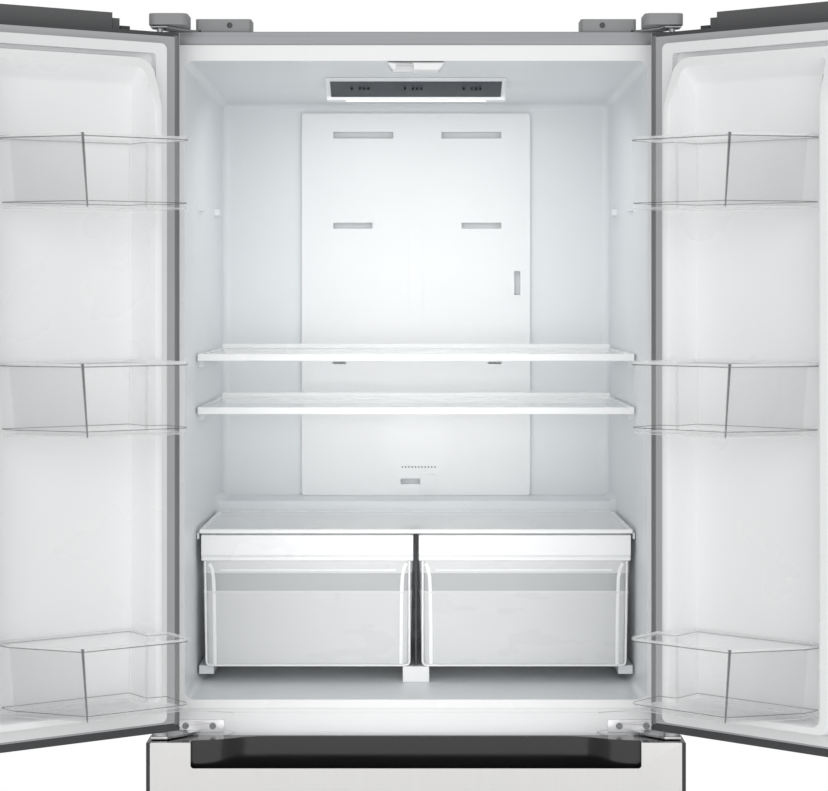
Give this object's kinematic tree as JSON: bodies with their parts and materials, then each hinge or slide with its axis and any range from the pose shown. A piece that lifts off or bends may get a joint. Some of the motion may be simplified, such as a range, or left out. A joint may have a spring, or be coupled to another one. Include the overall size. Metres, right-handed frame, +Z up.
{
  "type": "french door refrigerator",
  "caption": "Bottom-freezer refrigerator with french doors wide open, clear door bins, glass shelves, twin crispers and a freezer drawer with a pocket handle.",
  "frame": {"origin": "on the floor, on the centre plane of the cabinet and 143 mm behind its front face, which is within 12 mm of the middle of the footprint with both doors resting open", "axes": "+Z up, +Y from the doors towards the back of the cabinet, +X to the right of someone facing the open doors"},
  "size_m": [1.4662, 1.003, 1.767],
  "materials": {
    "cabinet_paint": "satin",
    "galvanised": "matte",
    "rail_steel": "satin",
    "stainless": "satin",
    "zinc_steel": "satin",
    "chrome": "polished",
    "aluminium": "satin",
    "black_enamel": "gloss",
    "liner_plastic": "satin",
    "white_plastic": "satin",
    "trim_plastic": "gloss",
    "grey_plastic": "satin",
    "slate_plastic": "gloss",
    "black_plastic": "matte",
    "gloss_black": "gloss",
    "roller_plastic": "matte",
    "lens_plastic": "satin",
    "frosted_plastic": "satin",
    "clear_plastic": "gloss",
    "shelf_glass": "gloss",
    "gasket": "matte"
  },
  "bodies": {
    "cabinet": {"base_tray": "galvanised", "cabinet_wrapper": "cabinet_paint", "compressor": "black_enamel", "condenser": "aluminium", "control_housing": "white_plastic", "control_panel": "slate_plastic", "crisper_cover_frame": "trim_plastic", "crisper_cover_glass": "shelf_glass", "crisper_divider": "white_plastic", "crossbar": "white_plastic", "drain_pan": "black_plastic", "duct_cover": "white_plastic", "evaporator": "aluminium", "freezer_duct_cover": "white_plastic", "freezer_liner": "liner_plastic", "freezer_rails": "galvanised", "fridge_liner": "liner_plastic", "hinge_covers": "grey_plastic", "hinge_screws": "chrome", "levelling_feet": "zinc_steel", "light_lens": "lens_plastic", "lower_hinges": "chrome", "mullion_guide": "white_plastic", "power_inlet": "black_plastic", "rear_lower_cover": "black_plastic", "rear_panel": "galvanised", "shelf_frames": "trim_plastic", "shelf_glass": "shelf_glass", "toe_grille": "black_plastic", "top_front_rail": "rail_steel", "top_hinges": "zinc_steel"},
    "left_door": {"left_bin_bottom": "clear_plastic", "left_bin_middle": "clear_plastic", "left_bin_top": "clear_plastic", "left_door_caps": "grey_plastic", "left_door_gasket": "gasket", "left_door_grip": "gloss_black", "left_door_liner": "liner_plastic", "left_door_skin": "stainless"},
    "right_door": {"right_bin_bottom": "clear_plastic", "right_bin_middle": "clear_plastic", "right_bin_top": "clear_plastic", "right_door_caps": "grey_plastic", "right_door_gasket": "gasket", "right_door_grip": "gloss_black", "right_door_liner": "liner_plastic", "right_door_skin": "stainless"},
    "freezer_drawer": {"freezer_frame": "gloss_black", "drawer_pocket": "gloss_black", "freezer_front_panel": "stainless", "freezer_inner_panel": "liner_plastic", "freezer_gasket": "gasket", "freezer_basket": "clear_plastic"},
    "flip_mullion": {"flip_mullion": "grey_plastic"},
    "crisper_left": {"crisper_left": "frosted_plastic"},
    "crisper_right": {"crisper_right": "frosted_plastic"},
    "damper_slider": {"damper_slider": "white_plastic"},
    "rear_rollers": {"rear_rollers": "roller_plastic"},
    "evaporator_fan": {"evaporator_fan": "black_plastic"},
    "freezer_tray": {"freezer_tray": "clear_plastic"}
  },
  "joints": [
    {"name": "left_door_hinge", "type": "hinge", "parent": "cabinet", "child": "left_door", "pos_m": [-0.401, -0.188, 1.2], "axis": [0, 0, -1], "range_deg": [-145, 5]},
    {"name": "right_door_hinge", "type": "hinge", "parent": "cabinet", "child": "right_door", "pos_m": [0.401, -0.188, 1.2], "axis": [0, 0, 1], "range_deg": [-139, 11]},
    {"name": "mullion_fold", "type": "hinge", "parent": "left_door", "child": "flip_mullion", "pos_m": [-0.67283, -0.44487, 1.19], "axis": [0, 0, 1], "range_deg": [-90, 0]},
    {"name": "left_crisper_slide", "type": "slide", "parent": "cabinet", "child": "crisper_left", "axis": [0, -1, 0], "range_m": [0, 0.28]},
    {"name": "right_crisper_slide", "type": "slide", "parent": "cabinet", "child": "crisper_right", "axis": [0, -1, 0], "range_m": [0, 0.28]},
    {"name": "freezer_drawer_slide", "type": "slide", "parent": "cabinet", "child": "freezer_drawer", "axis": [0, -1, 0], "range_m": [0, 0.42]},
    {"name": "freezer_tray_slide", "type": "slide", "parent": "freezer_drawer", "child": "freezer_tray", "axis": [0, 1, 0], "range_m": [0, 0.06]},
    {"name": "damper_slide", "type": "slide", "parent": "cabinet", "child": "damper_slider", "axis": [1, 0, 0], "range_m": [-0.036, 0]},
    {"name": "evaporator_fan_spin", "type": "hinge", "parent": "cabinet", "child": "evaporator_fan", "pos_m": [0, 0.353, 0.535], "axis": [0, 1, 0], "continuous": true},
    {"name": "rear_roller_spin", "type": "hinge", "parent": "cabinet", "child": "rear_rollers", "pos_m": [0, 0.447, 0.02], "axis": [1, 0, 0], "continuous": true}
  ]
}
